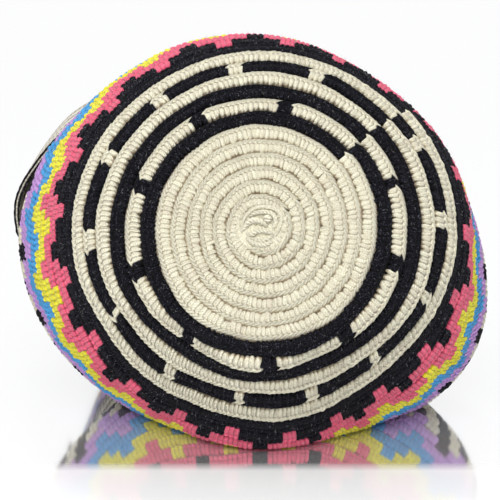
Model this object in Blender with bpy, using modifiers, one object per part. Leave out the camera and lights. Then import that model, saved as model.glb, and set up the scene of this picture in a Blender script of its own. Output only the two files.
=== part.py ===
"""A crocheted bucket bag with a woven shoulder strap, lying on its side with the round base facing -Y.

The body is worked as one spiral from the centre of the base to the rim. Here it is first turned as a flat
disc, whose radius is the distance along the cloth and whose height is the distance across it. Each point
of the disc is then carried to its place on the filled, slumped bag.
"""

import math

import bpy
import numpy as np

# The crochet.
ROUND_PITCH = 0.0070
ROUNDS = 48
BODY_WALL = 0.0044
ROUND_RELIEF = 0.0011
CREST_AT = 0.62
RIM_SWELL = 0.0006
BODY_SEGMENTS = 48
LINING_ROUNDS_PER_STEP = 2

# How the flat base turns into the wall. Angles are measured from the plane of the base.
BASE_FLAT = 0.0835
BASE_FLAT_SIDE = 0.0039
BASE_FLAT_UP = 0.0258
CORNER_HALF = 0.0338
CORNER_HALF_UP = 0.0327
CORNER_HALF_LEAST = 0.004
CORNER_TURN = 70.5
WALL_TURN = 92.2
WALL_RUN = 0.2176
# Slow waves around the bag: how many a turn, and the cosine and sine parts. The first set moves the corner and
# the second widens it, in metres; the third adds to its turn, in degrees; the last widens the wall, as a share
# of its radius.
CORNER_WAVES = (
    (2, 0.0002, 0.0015),
    (3, -0.0025, 0.0023),
    (4, 0.0040, -0.0009),
    (5, -0.0009, -0.0005),
    (6, -0.0003, 0.0006),
)
HALF_WAVES = (
    (1, 0.0029, 0.0000),
    (2, 0.0014, 0.0026),
    (3, -0.0021, 0.0005),
    (4, -0.0003, -0.0001),
)
TURN_WAVES = (
    (1, 6.05, 3.46),
    (2, -2.28, 7.76),
    (3, -3.98, -2.26),
)
WALL_WAVES = (
    (3, 0.0197, -0.0164),
    (4, -0.0192, 0.0205),
    (5, 0.0029, -0.0045),
    (6, -0.0024, -0.0185),
)

# How the bag lies.
BASE_HEIGHT = 0.1198
BASE_TILT = 26.2
BASE_YAW = 1.3
SPINE_RUN = 0.2126
OVAL = 0.0272
OVAL_ANGLE = -15.1
SLUMP_SIDE = -0.0045
SLUMP_DOWN = -0.0228
SLUMP_RUN = 0.0564
FLOOR_BLEND = 0.0040
NECK_START = 0.078
NECK_END = 0.140
NECK_DROP = 0.2548
NECK_NARROW = 0.2671
NECK_PUSH = 0.0076
NECK_PUSH_ANGLE = 150.3

# The shoulder strap, folded to and fro across the neck. Its ends and folds are given by the
# direction that the neck's outline faces there, in degrees from +X over the top.
STRAP_WIDTH = 0.070
STRAP_THICK = 0.0030
STRAP_FRONT = 0.1230
STRAP_LAYER_GAP = 0.0004
# The band stands off the neck a little where the neck's outline faces this way.
STRAP_SLACK = 0.0100
SLACK_FACING = 150.0
SLACK_SPREAD = 20.0
# How far past each edge of the strap the neck is looked at for the strap's course.
EDGE_CARE = 0.0005
STRAP_STATION = 0.010
STRAP_BEND_STEP = 0.10
BIGHT_RADIUS = 0.0045
BIGHT_TAPER = 0.050
TAUT_SPAN = 0.050
TAUT_ROUND = 7
SEWN_LEFT = 195.0
STRAP_FOLDS = (59.4, 172.8)
SEWN_RIGHT = 34.6

GAP = 0.0003
BODY_NAME = "bag_body"
STRAP_NAME = "shoulder_strap"


def ease(x):
    """0 below 0, 1 above 1, smooth between."""
    x = np.clip(x, 0.0, 1.0)
    return x * x * (3.0 - 2.0 * x)


def rest_on(height, floor, blend):
    """The larger of height and floor, with a rounded change of width 2 * blend between them."""
    above = height - floor
    rounded = (above + blend) ** 2 / (4.0 * blend)
    return floor + np.where(above > blend, above, np.where(above < -blend, 0.0, rounded))


def waves(parts, turn):
    """The sum of slow waves around the bag, at each angle."""
    total = np.zeros_like(turn)
    for count, cosine, sine in parts:
        total = total + cosine * np.cos(count * turn) + sine * np.sin(count * turn)
    return total


def spine(depth):
    """Points of the bag's centre line and its slope, for each depth behind the base."""
    steps = np.arange(-0.03, 0.45, 0.001)
    slope = -math.radians(BASE_TILT) * (1.0 - ease(steps / SPINE_RUN))
    back = np.cumsum(np.cos(slope)) * 0.001
    rise = np.cumsum(np.sin(slope)) * 0.001
    back -= np.interp(0.0, steps, back)
    rise -= np.interp(0.0, steps, rise)
    return np.interp(depth, steps, back), np.interp(depth, steps, rise), np.interp(depth, steps, slope)


def middle_cloth(along, around):
    """The middle of the cloth at each distance along it from the centre of the base and each angle around it.

    along is a rising array from 0, around an array of angles in radians. Gives an array of (along, around, xyz).
    """
    s, turn = np.meshgrid(along, around, indexing="ij")
    corner = BASE_FLAT + BASE_FLAT_SIDE * np.cos(turn) + BASE_FLAT_UP * np.sin(turn) + waves(CORNER_WAVES, turn)
    half = CORNER_HALF + CORNER_HALF_UP * np.sin(turn) + waves(HALF_WAVES, turn)
    half = np.maximum(half, CORNER_HALF_LEAST)
    corner_turn = CORNER_TURN + waves(TURN_WAVES, turn)
    angle = corner_turn * ease((s - corner + half) / (2.0 * half))
    angle = angle + (WALL_TURN - corner_turn) * ease((s - corner) / WALL_RUN)
    step = np.diff(along, prepend=0.0)[:, None]
    radius = np.cumsum(np.cos(np.radians(angle)) * step, axis=0)
    depth = np.cumsum(np.sin(np.radians(angle)) * step, axis=0)
    slumped = ease(depth / SLUMP_RUN)
    wide = OVAL * np.cos(2.0 * (turn - math.radians(OVAL_ANGLE))) + waves(WALL_WAVES, turn)
    radius = radius * (1.0 + slumped * wide)
    side = radius * np.cos(turn) + SLUMP_SIDE * slumped
    up = radius * np.sin(turn)
    back, rise, slope = spine(depth)
    yaw = math.radians(BASE_YAW)
    x = back * math.sin(yaw) + side * math.cos(yaw) - up * np.sin(slope) * math.sin(yaw)
    y = back * math.cos(yaw) - side * math.sin(yaw) - up * np.sin(slope) * math.cos(yaw)
    z = BASE_HEIGHT + rise + up * np.cos(slope) + SLUMP_DOWN * slumped
    necked = ease((y - NECK_START) / (NECK_END - NECK_START))
    # One side of the neck bulges out.
    push = math.radians(NECK_PUSH_ANGLE)
    bulge = NECK_PUSH * necked * np.maximum(np.cos(turn - push), 0.0) ** 4
    x = x * (1.0 - NECK_NARROW * necked) + bulge * math.cos(push)
    z = z * (1.0 - NECK_DROP * necked) + bulge * math.sin(push)
    z = rest_on(z, BODY_WALL / 2.0, FLOOR_BLEND)
    return np.stack([x, y, z], axis=-1)


def settled_grid():
    """The middle of the cloth and its outward direction on a fine grid, with the grid's two scales."""
    along = np.arange(0.0, (ROUNDS + 2) * ROUND_PITCH, 0.001)
    around = np.radians(np.arange(0.0, 361.0, 1.25))
    cloth = middle_cloth(along, around)
    d_along = np.gradient(cloth, axis=0)
    wrapped = np.concatenate([cloth[:, -2:-1], cloth, cloth[:, 1:2]], axis=1)
    d_around = wrapped[:, 2:] - wrapped[:, :-2]
    d_around[0] = d_around[2]
    outward = np.cross(d_along, d_around)
    outward /= np.linalg.norm(outward, axis=-1, keepdims=True)
    outward[:3] = outward[3].mean(axis=0)
    outward /= np.linalg.norm(outward, axis=-1, keepdims=True)
    return along, around, cloth, outward


def sample(grid, along, around, field):
    """Bilinear reading of a field of the grid."""
    i = np.clip(along / (grid[0][1] - grid[0][0]), 0, len(grid[0]) - 1.001)
    j = np.clip(np.mod(around, 2.0 * math.pi) / (grid[1][1] - grid[1][0]), 0, len(grid[1]) - 1.001)
    i0 = i.astype(int)
    j0 = j.astype(int)
    fi = (i - i0)[:, None]
    fj = (j - j0)[:, None]
    low = field[i0, j0] * (1 - fj) + field[i0, j0 + 1] * fj
    high = field[i0 + 1, j0] * (1 - fj) + field[i0 + 1, j0 + 1] * fj
    return low * (1 - fi) + high * fi


def settle(points, grid):
    """Carries points of the flat disc to their place on the lying bag."""
    along = np.hypot(points[:, 0], points[:, 1])
    around = np.arctan2(points[:, 1], points[:, 0])
    cloth = sample(grid, along, around, grid[2])
    outward = sample(grid, along, around, grid[3])
    outward /= np.linalg.norm(outward, axis=1, keepdims=True)
    height = points[:, 2]
    # Where the cloth is pressed on the floor its ridges are flat.
    pressed = 1.0 - ease((cloth[:, 2] - BODY_WALL / 2.0) / 0.002)
    relief = np.maximum(height - BODY_WALL / 2.0, 0.0)
    height = height - relief * pressed
    moved = cloth + outward * height[:, None]
    moved[:, 2] = np.maximum(moved[:, 2], 0.0)
    return moved


def new_collection(name):
    collection = bpy.data.collections.new(name)
    bpy.context.scene.collection.children.link(collection)
    return collection


def new_material(name, color, roughness):
    material = bpy.data.materials.new(name)
    material.use_nodes = True
    shader = material.node_tree.nodes["Principled BSDF"]
    shader.inputs["Base Color"].default_value = (*color, 1.0)
    shader.inputs["Roughness"].default_value = roughness
    return material


def disc_profile():
    """Half of the disc's section: along the ridged outside from the centre, round the rim, and back inside."""
    face = BODY_WALL / 2.0
    profile = [(0.0, face + 0.3 * ROUND_RELIEF)]
    for round_index in range(ROUNDS):
        start = round_index * ROUND_PITCH
        swell = RIM_SWELL if round_index == ROUNDS - 1 else 0.0
        if round_index > 0:
            profile.append((start, face))
        profile.append((start + CREST_AT * ROUND_PITCH, face + ROUND_RELIEF + swell))
    edge = ROUNDS * ROUND_PITCH
    profile.append((edge + 0.3 * BODY_WALL, 0.35 * BODY_WALL))
    profile.append((edge + 0.3 * BODY_WALL, -0.25 * BODY_WALL))
    for round_index in range(ROUNDS, 0, -LINING_ROUNDS_PER_STEP):
        profile.append((round_index * ROUND_PITCH, -face))
    profile.append((0.0, -face))
    return profile


def make_body(collection, grid):
    profile = disc_profile()
    mesh = bpy.data.meshes.new(BODY_NAME)
    edges = [(i, i + 1) for i in range(len(profile) - 1)]
    mesh.from_pydata([(x, 0.0, z) for x, z in profile], edges, [])
    flat = bpy.data.objects.new(BODY_NAME + "_flat", mesh)
    collection.objects.link(flat)
    screw = flat.modifiers.new("Turn", "SCREW")
    screw.axis = "Z"
    screw.steps = BODY_SEGMENTS
    screw.render_steps = BODY_SEGMENTS
    screw.use_merge_vertices = True
    screw.merge_threshold = 0.00005
    screw.use_smooth_shade = True
    bpy.context.view_layer.update()
    turned = bpy.data.meshes.new_from_object(flat.evaluated_get(bpy.context.evaluated_depsgraph_get()))
    bpy.data.objects.remove(flat, do_unlink=True)
    points = np.empty(len(turned.vertices) * 3)
    turned.vertices.foreach_get("co", points)
    turned.vertices.foreach_set("co", settle(points.reshape(-1, 3), grid).ravel())
    turned.update()
    turned.name = BODY_NAME
    body = bpy.data.objects.new(BODY_NAME, turned)
    collection.objects.link(body)
    body.data.materials.clear()
    body.data.materials.append(new_material("crochet_cotton", (0.80, 0.74, 0.60), 0.95))
    return body


def neck_outline(grid):
    """The outline of the neck that a band straight along Y rests on, as points and outward directions by angle."""
    along = np.arange(0.4 * ROUNDS, ROUNDS + 0.3, 0.1) * ROUND_PITCH
    around = np.radians(np.arange(0.0, 360.0, 3.0))
    reach = BODY_WALL / 2.0 + ROUND_RELIEF
    clouds = []
    for distance in along:
        at = np.full(len(around), distance)
        points = sample(grid, at, around, grid[2]) + reach * sample(grid, at, around, grid[3])
        clouds.append(points)
    cloud = np.concatenate(clouds)
    near = (cloud[:, 1] > STRAP_FRONT - EDGE_CARE) & (cloud[:, 1] < STRAP_FRONT + STRAP_WIDTH + EDGE_CARE)
    cloud = cloud[near]
    center_x = 0.5 * (cloud[:, 0].min() + cloud[:, 0].max())
    center_z = 0.5 * (cloud[:, 2].min() + cloud[:, 2].max())
    offset = cloud[:, [0, 2]] - (center_x, center_z)
    facing = np.radians(np.arange(0.0, 360.0, 1.0))
    # The support line in each direction gives the convex outline, which a taut band follows.
    direction = np.stack([np.cos(facing), np.sin(facing)], axis=1)
    support = (offset @ direction.T).max(axis=0)
    padded = np.concatenate([support[-12:], support, support[:12]])
    kernel = np.hanning(9)
    support = np.convolve(padded, kernel / kernel.sum(), mode="same")[12:-12]
    support = np.maximum(support, (offset @ direction.T).max(axis=0))
    slope = (np.roll(support, -1) - np.roll(support, 1)) / (2.0 * math.radians(1.0))
    tangent = np.stack([-np.sin(facing), np.cos(facing)], axis=1)
    outline = direction * support[:, None] + tangent * slope[:, None]
    return outline + (center_x, center_z), direction


def neck_track(outline):
    """The outline from the left sewn end over the top to the right one, as points 1 mm apart, with directions.

    Also gives the distance along it of each fold.
    """
    points, direction = outline
    degrees = np.arange(SEWN_LEFT, SEWN_RIGHT - 0.5, -0.5)
    low = np.floor(degrees).astype(int)
    part = (degrees - low)[:, None]
    path = points[low % 360] * (1 - part) + points[(low + 1) % 360] * part
    facing = direction[low % 360] * (1 - part) + direction[(low + 1) % 360] * part
    run = np.concatenate([[0.0], np.cumsum(np.linalg.norm(np.diff(path, axis=0), axis=1))])
    at = np.arange(0.0, run[-1], 0.001)
    track = np.stack([np.interp(at, run, path[:, i]) for i in range(2)], axis=1)
    facing = np.stack([np.interp(at, run, facing[:, i]) for i in range(2)], axis=1)
    facing /= np.linalg.norm(facing, axis=1, keepdims=True)
    folds = [int(round(np.interp(SEWN_LEFT - fold, SEWN_LEFT - degrees, run) * 1000)) for fold in STRAP_FOLDS]
    return track, facing, folds


def taut(height):
    """A smooth line that a band follows over a stack of this height, nowhere lower than it."""
    count = int(TAUT_SPAN / 0.001)
    kernel = np.hanning(count + 2)[1:-1]
    kernel /= kernel.sum()
    smooth = height
    for _ in range(3):
        padded = np.pad(smooth, count, mode="edge")
        smooth = np.maximum(np.convolve(padded, kernel, mode="same")[count:-count], height)
    # Widening each top by as much as the last smoothing reaches keeps the line above the stack.
    padded = np.pad(smooth, 2 * TAUT_ROUND, mode="edge")
    shifts = range(-TAUT_ROUND, TAUT_ROUND + 1)
    widened = np.max([np.roll(padded, shift) for shift in shifts], axis=0)
    kernel = np.hanning(2 * TAUT_ROUND + 3)[1:-1]
    kernel /= kernel.sum()
    return np.convolve(widened, kernel, mode="same")[2 * TAUT_ROUND : -2 * TAUT_ROUND]


def strap_path(outline):
    """The centre line of the folded strap in the XZ plane, from its sewn left end to its sewn right end."""
    track, facing, folds = neck_track(outline)
    index = np.arange(len(track))
    stack = np.zeros(len(track))
    bulge = 2.0 * BIGHT_RADIUS - STRAP_THICK - STRAP_LAYER_GAP
    stops = [0, *folds, len(track) - 1]
    faces = np.degrees(np.arctan2(facing[:, 1], facing[:, 0])) % 360.0
    bulb = int(BIGHT_RADIUS * 1000) + 2
    path = []
    before = None
    for layer, (start, end) in enumerate(zip(stops[:-1], stops[1:])):
        gap = STRAP_LAYER_GAP if layer else GAP
        height = taut(stack) + gap + STRAP_THICK / 2.0
        if layer == 0:
            height = height + STRAP_SLACK * ease(1.0 - np.abs(faces - SLACK_FACING) / SLACK_SPREAD)
        if layer:
            height = height + bulge * (1.0 - ease(np.abs(index - start) * 0.001 / BIGHT_TAPER))
            # The bight stands out past the fold as a half circle between the two layers.
            middle = track[start] + facing[start] * 0.5 * (before[start] + height[start])
            arm = track[start] + facing[start] * before[start] - middle
            turn = 1.0 if start > stops[layer - 1] else -1.0
            for part in np.linspace(0.0, math.pi, 10)[1:-1]:
                c = math.cos(part)
                sn = math.sin(part) * turn
                path.append(middle + (c * arm[0] - sn * arm[1], sn * arm[0] + c * arm[1]))
        step = 1 if end > start else -1
        for i in range(start, end + step, step):
            path.append(track[i] + facing[i] * height[i])
        low = max(min(start, end) - (bulb if min(start, end) > 0 else 0), 0)
        high = max(start, end) + (bulb if max(start, end) < len(track) - 1 else 0)
        covered = (index >= low) & (index <= high)
        reach = np.clip(index, min(start, end), max(start, end))
        stack = np.where(covered, height[reach] + STRAP_THICK / 2.0, stack)
        before = height
    return thin_out(np.array(path))


def thin_out(path):
    """The path with fewer points: one at each small bend and at least one in each station's length."""
    kept = [path[0]]
    heading = path[1] - path[0]
    for point, after in zip(path[1:-1], path[2:]):
        length = float(np.linalg.norm(point - kept[-1]))
        ahead = after - point
        cross = float(heading[0] * ahead[1] - heading[1] * ahead[0])
        bend = abs(math.atan2(cross, float(heading @ ahead)))
        if length >= STRAP_STATION or (length > 0.0009 and bend >= STRAP_BEND_STEP):
            kept.append(point)
            heading = ahead
    kept.append(path[-1])
    return np.array(kept)


def make_strap(collection, grid):
    path = strap_path(neck_outline(grid))
    curve = bpy.data.curves.new(STRAP_NAME, "CURVE")
    curve.dimensions = "2D"
    curve.fill_mode = "NONE"
    curve.extrude = STRAP_WIDTH / 2.0
    spline = curve.splines.new("POLY")
    spline.points.add(len(path) - 1)
    for point, (x, z) in zip(spline.points, path):
        point.co = (x, z, 0.0, 1.0)
    strap = bpy.data.objects.new(STRAP_NAME, curve)
    strap.location = (0.0, STRAP_FRONT + STRAP_WIDTH / 2.0, 0.0)
    strap.rotation_euler = (math.radians(90.0), 0.0, 0.0)
    collection.objects.link(strap)
    solid = strap.modifiers.new("Thickness", "SOLIDIFY")
    solid.thickness = STRAP_THICK
    solid.offset = 0.0
    solid.use_even_offset = True
    edge = strap.modifiers.new("Edge", "BEVEL")
    edge.width = STRAP_THICK * 0.25
    edge.segments = 1
    edge.limit_method = "ANGLE"
    edge.angle_limit = math.radians(60.0)
    strap.data.materials.append(new_material("woven_cotton", (0.86, 0.84, 0.78), 0.95))
    return strap


def center_over_origin(objects):
    """Moves the objects together so that their bounding box stands centred on the origin, bottom at Z = 0."""
    graph = bpy.context.evaluated_depsgraph_get()
    corners = []
    for obj in objects:
        shown = obj.evaluated_get(graph)
        mesh = shown.to_mesh()
        points = np.empty(len(mesh.vertices) * 3)
        mesh.vertices.foreach_get("co", points)
        points = points.reshape(-1, 3) @ np.array(shown.matrix_world.to_3x3()).T
        points = points + np.array(shown.matrix_world.translation)
        corners += [points.min(axis=0), points.max(axis=0)]
        shown.to_mesh_clear()
    low = np.min(corners, axis=0)
    high = np.max(corners, axis=0)
    for obj in objects:
        obj.location.x -= 0.5 * (low[0] + high[0])
        obj.location.y -= 0.5 * (low[1] + high[1])
        obj.location.z -= low[2]


def main():
    for obj in list(bpy.data.objects):
        bpy.data.objects.remove(obj, do_unlink=True)
    collection = new_collection("crochet_bucket_bag")
    grid = settled_grid()
    body = make_body(collection, grid)
    strap = make_strap(collection, grid)
    bpy.context.view_layer.update()
    center_over_origin([body, strap])


main()
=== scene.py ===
"""The looks of a crocheted bucket bag that lies on its side, seen from its round base.

The body is made stitch by stitch on the same settled surface as the CAD solid: one spiral of rounds, each a
row of short strands with a rope-like chain along its outer edge. Each strand takes the yarn of the pattern.
"""

import math

import bmesh
import bpy
import numpy as np
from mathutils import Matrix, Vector


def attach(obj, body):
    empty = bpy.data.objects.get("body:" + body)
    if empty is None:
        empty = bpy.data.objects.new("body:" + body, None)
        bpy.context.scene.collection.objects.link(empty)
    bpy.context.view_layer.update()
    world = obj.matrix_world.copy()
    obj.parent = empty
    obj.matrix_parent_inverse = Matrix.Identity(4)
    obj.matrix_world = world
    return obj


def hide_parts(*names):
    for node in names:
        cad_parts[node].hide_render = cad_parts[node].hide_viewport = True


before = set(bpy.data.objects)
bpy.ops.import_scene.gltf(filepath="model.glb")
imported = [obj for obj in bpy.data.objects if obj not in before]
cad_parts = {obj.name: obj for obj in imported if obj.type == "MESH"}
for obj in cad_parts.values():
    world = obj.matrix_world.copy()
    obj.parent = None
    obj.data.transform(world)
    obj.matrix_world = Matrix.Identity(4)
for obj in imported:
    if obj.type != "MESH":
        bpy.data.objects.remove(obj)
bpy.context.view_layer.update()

# The part's own sizes, in metres and degrees.
ROUND_PITCH = 0.0070
ROUNDS = 48
BODY_WALL = 0.0044
ROUND_RELIEF = 0.0011
BASE_FLAT = 0.0835
BASE_FLAT_SIDE = 0.0039
BASE_FLAT_UP = 0.0258
CORNER_HALF = 0.0338
CORNER_HALF_UP = 0.0327
CORNER_HALF_LEAST = 0.004
CORNER_TURN = 70.5
WALL_TURN = 92.2
WALL_RUN = 0.2176
# Slow waves around the bag: how many a turn, and the cosine and sine parts. They move the corner and widen
# it, in metres, add to its turn, in degrees, and widen the wall, as a share of its radius.
CORNER_WAVES = (
    (2, 0.0002, 0.0015),
    (3, -0.0025, 0.0023),
    (4, 0.0040, -0.0009),
    (5, -0.0009, -0.0005),
    (6, -0.0003, 0.0006),
)
HALF_WAVES = (
    (1, 0.0029, 0.0000),
    (2, 0.0014, 0.0026),
    (3, -0.0021, 0.0005),
    (4, -0.0003, -0.0001),
)
TURN_WAVES = (
    (1, 6.05, 3.46),
    (2, -2.28, 7.76),
    (3, -3.98, -2.26),
)
WALL_WAVES = (
    (3, 0.0197, -0.0164),
    (4, -0.0192, 0.0205),
    (5, 0.0029, -0.0045),
    (6, -0.0024, -0.0185),
)
BASE_HEIGHT = 0.1198
BASE_TILT = 26.2
BASE_YAW = 1.3
SPINE_RUN = 0.2126
OVAL = 0.0272
OVAL_ANGLE = -15.1
SLUMP_SIDE = -0.0045
SLUMP_DOWN = -0.0228
SLUMP_RUN = 0.0564
FLOOR_BLEND = 0.0040
NECK_START = 0.078
NECK_END = 0.140
NECK_DROP = 0.2548
NECK_NARROW = 0.2671
NECK_PUSH = 0.0076
NECK_PUSH_ANGLE = 150.3
STRAP_WIDTH = 0.070
STRAP_THICK = 0.0030
STRAP_FRONT = 0.1230
STRAP_LAYER_GAP = 0.0004
STRAP_SLACK = 0.0100
SLACK_FACING = 150.0
SLACK_SPREAD = 20.0
EDGE_CARE = 0.0005
BIGHT_RADIUS = 0.0045
BIGHT_TAPER = 0.050
TAUT_SPAN = 0.050
TAUT_ROUND = 7
SEWN_LEFT = 195.0
STRAP_FOLDS = (59.4, 172.8)
SEWN_RIGHT = 34.6
GAP = 0.0003
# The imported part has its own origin: how far its points were moved to get there.
ROW_SHIFT = (0.007408, -0.121544, 0.0)

# The camera, as fitted to the photograph.
CAMERA_PITCH = 13.665
CAMERA_FOCAL_PX = 1864.3
CAMERA_DISTANCE = 0.91239
BASE_CENTER_PX = (262.0, 229.0)
IMAGE_PX = 500.0
SENSOR_WIDTH = 36.0

# The light: the world's strength on surfaces, a sun from behind and above, and a wide lamp in front.
WORLD_LIGHT = 0.70
SUN_FROM = (-0.05, 0.45, 0.89)
SUN_SPREAD = 12.0
SUN_LIGHT = 0.45
LAMP_TARGET = (0.0, -0.02, 0.12)
FRONT_LAMP = (-0.15, -1.15, 1.10)
FRONT_LAMP_SIZE = 0.90
FRONT_LAMP_POWER = 15.5
# The bag lies on a polished plate. In front of the plate's edge the floor mirrors less.
FLOOR_SIZE = 4.0
PLATE_EDGE = -0.1304
PLATE_EDGE_SOFT = 0.006
PLATE_GLOSS = 0.84
FLOOR_GLOSS = 0.05

# The crochet. Each round of the spiral starts at the jog, an angle around the bag in degrees. The first one
# starts a part of a round before the centre.
JOG = 42.5
FIRST_ROUND_BACK = 0.68
FIRST_STRAND_AT = 0.0058
STRANDS_PER_ROUND = (20, 26, 44, 62, 80, 98, 116, 133, 146, 160, 176, 190, 206, 222)
WALL_STRANDS = 252
# The first round of the patterned base, which lies around the plain disc, and the first of the wall.
BASE_START = 8
WALL_START = 14
# How high the foot of a stitch lies outside the middle of the cloth.
STITCH_FOOT = 0.0019
# How the stitches lie in the disc, the base and the wall: their relief in metres, the slant of the chain, how
# loosely the strands stand, how unevenly, and how much a strand's foot is drawn in and rounded.
LAYS = (
    (0.0016, 1.00, 1.0, 1.5, 0.08, 0.10),
    (0.0016, 1.00, 1.0, 1.0, 0.16, 0.22),
    (0.0012, 0.15, 0.4, 1.0, 0.08, 0.10),
)
# Strands lean a little along the round. Those of the slumped wall stand squarer to it at the bag's two sides.
STRAND_LEAN = 0.10
WALL_STANDS = 0.70
# How deep the gap beside a strand is, at its foot and at its top: 0 is as deep as the strand is high.
EDGE_GAP = (0.08, 0.58)
# How far up a round a strand's lean, the rounding of its foot and the widening of its gap reach, as shares.
LEAN_SPAN = 0.60
FOOT_SPAN = 0.50
GAP_SPAN = 0.56
# How high the chain is between two of its links, as a share of a link, and how blunt the links are.
CHAIN_GAP = 0.35
LINK_POWER = 0.55
# How many bands the plies make along a strand, in Blender's own scale.
PLY_BANDS = 0.48844444
# How the strands' values vary: heights, places of feet, leans, widths, gaps, creases, tones and swellings.
TALL_SPREAD = 0.10
TIP_SPREAD = 0.055
LEAN_SPREAD = 0.15
WIDTH_SPREAD = 0.08
GAP_SPREAD = 0.16
CREASE = 0.28
CREASE_SPREAD = 0.14
SPLIT_SPREAD = 0.08
TONE_SPREAD = 0.22
SWELL_SPREAD = 0.045
# Slow unevenness of the rounds: size in metres, waves around the bag, and the change of phase at each round.
HEIGHT_SWAY = ((0.00025, 3.0, 0.9), (0.0002, 7.0, 2.1))
ALONG_SWAY = ((0.00022, 5.0, 1.7), (0.00016, 17.0, 0.6))

CREAM, BLACK, CORAL, YELLOW, BLUE, LILAC = range(6)
# The plain rounds outside the disc, the rounds of dashes, and the one of blocks on the wall.
CREAM_ROUNDS = (11, 13, 32, 36, 47, 48)
BLACK_ROUNDS = (8, 10, 14, 33, 35, 37)
CREAM_DASH_ROUND = 9
BLACK_DASH_ROUND = 12
BLOCK_ROUND = 34
CREAM_DASHES = (
    (42.5, 76.8), (83.7, 116.1), (124.0, 157.3), (165.0, 194.9), (201.5, 230.8),
    (239.3, 270.5), (277.6, 306.3), (312.1, 340.8), (347.8, 376.9), (381.5, 402.5),
)
BLACK_DASHES = (
    (42.8, 68.8), (73.3, 96.6), (101.2, 124.3), (129.1, 151.3), (155.5, 179.4),
    (185.7, 202.7), (205.5, 228.0), (233.3, 260.7), (264.3, 288.7), (293.8, 316.8),
    (320.6, 339.1), (343.9, 362.1), (367.0, 388.5), (392.9, 402.5),
)
# Where each peak of the stepped wall pattern stands around the bag, from the first after the jog, and how
# many rounds each quarter of a period reaches down.
PEAKS = (
    83.2, 101.2, 119.0, 136.5, 153.6, 169.3, 185.3, 201.7, 218.5, 240.1, 262.1,
    283.3, 302.5, 319.8, 336.1, 351.2, 367.2, 383.4, 398.4, 413.3, 428.3,
)
STEPS = (0, 1, 2, 1)
# The stepped bands run down from the first of these rounds and up from the second: two rounds of each yarn.
BANDS_DOWN = 15
BANDS_UP = 46
BAND_YARNS = (CORAL, YELLOW, BLUE, LILAC)
# The peaks' numbers and angles, with a few more before the first and behind the last.
PEAK_NUMBERS = range(-4, len(PEAKS) + 4)
PEAK_TURNS = [turn - 360.0 for turn in PEAKS[-4:]] + [*PEAKS] + [turn + 360.0 for turn in PEAKS[:4]]

# How the rounds are stretched or drawn in on the base: the round, and how far in millimetres it is drawn in
# on all sides, at the sides more than at top and bottom, and at the right more than at the left.
DRAWN_IN = (
    (0.0, 0.0, 0.0, 0.0),
    (5.6, 1.10, 1.18, -0.55),
    (7.7, 0.78, 0.98, -0.20),
    (9.9, 0.54, 0.50, 0.0),
    (11.4, 0.20, 0.40, 0.0),
    (13.2, 0.0, 0.15, 0.0),
    (16.0, 0.0, 0.0, 0.0),
)

# Rows across a round, from its inner edge out: place between the edges, height, how lit it looks, lean of the
# chain along the round, and whether the row is part of the chain.
FINE_ROWS = (
    (-0.06, -0.60, -0.30, 0.00, 0),
    (0.03, -0.05, 0.10, 0.00, 0),
    (0.08, 0.62, 0.80, 0.00, 0),
    (0.17, 1.02, 1.00, 0.00, 0),
    (0.38, 1.02, 1.00, 0.00, 0),
    (0.58, 0.88, 0.92, 0.00, 0),
    (0.68, 0.30, 0.30, 0.05, 1),
    (0.745, 0.92, 0.95, 0.28, 1),
    (0.83, 1.12, 1.10, 0.04, 1),
    (0.92, 0.95, 1.00, -0.22, 1),
    (0.98, 0.40, 0.45, -0.34, 1),
    (1.10, -0.60, -0.30, -0.38, 1),
)
# Columns of one strand: place, height, and whether it is the gap beside the strand, a leg of it or the crease
# between its two legs.
EDGE_COLUMN, LEG_COLUMN, INNER_COLUMN = range(3)
FINE_COLUMNS = (
    (0.0, 0.0, EDGE_COLUMN),
    (0.13, 0.62, LEG_COLUMN),
    (0.33, 0.97, LEG_COLUMN),
    (0.5, 0.95, INNER_COLUMN),
    (0.67, 0.97, LEG_COLUMN),
    (0.87, 0.62, LEG_COLUMN),
)
COARSE_ROWS = (
    (-0.06, -0.90, -0.60, 0.00, 0),
    (0.04, 0.55, 0.55, 0.00, 0),
    (0.16, 1.00, 1.00, 0.00, 0),
    (0.57, 0.85, 0.85, 0.05, 0),
    (0.665, 0.25, 0.35, 0.20, 1),
    (0.80, 1.05, 1.05, 0.00, 1),
    (0.94, 0.60, 0.60, -0.45, 1),
    (1.02, -0.90, -0.60, -0.55, 1),
)
COARSE_COLUMNS = ((0.0, 0.0, EDGE_COLUMN), (0.3, 1.0, LEG_COLUMN), (0.7, 1.0, LEG_COLUMN))
# The pieces of the body: name, first and last round, rows and columns.
STITCH_PIECES = (
    ("crochet_disc", 0, 7, FINE_ROWS, FINE_COLUMNS),
    ("crochet_base", 8, 13, FINE_ROWS, FINE_COLUMNS),
    ("crochet_corner", 14, 16, FINE_ROWS, FINE_COLUMNS),
    ("crochet_teeth", 17, 19, FINE_ROWS, FINE_COLUMNS),
    ("crochet_zigzag", 20, 24, COARSE_ROWS, COARSE_COLUMNS),
    ("crochet_wall", 25, 36, COARSE_ROWS, COARSE_COLUMNS),
    ("crochet_neck", 37, 48, COARSE_ROWS, COARSE_COLUMNS),
)
LINING_ROWS_PER_ROUND = 3
LINING_COLUMNS = 168
LINING_HEIGHT = -0.0019
LINING_RELIEF = 0.0005
RIM_RADIUS = 0.0027

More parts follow.
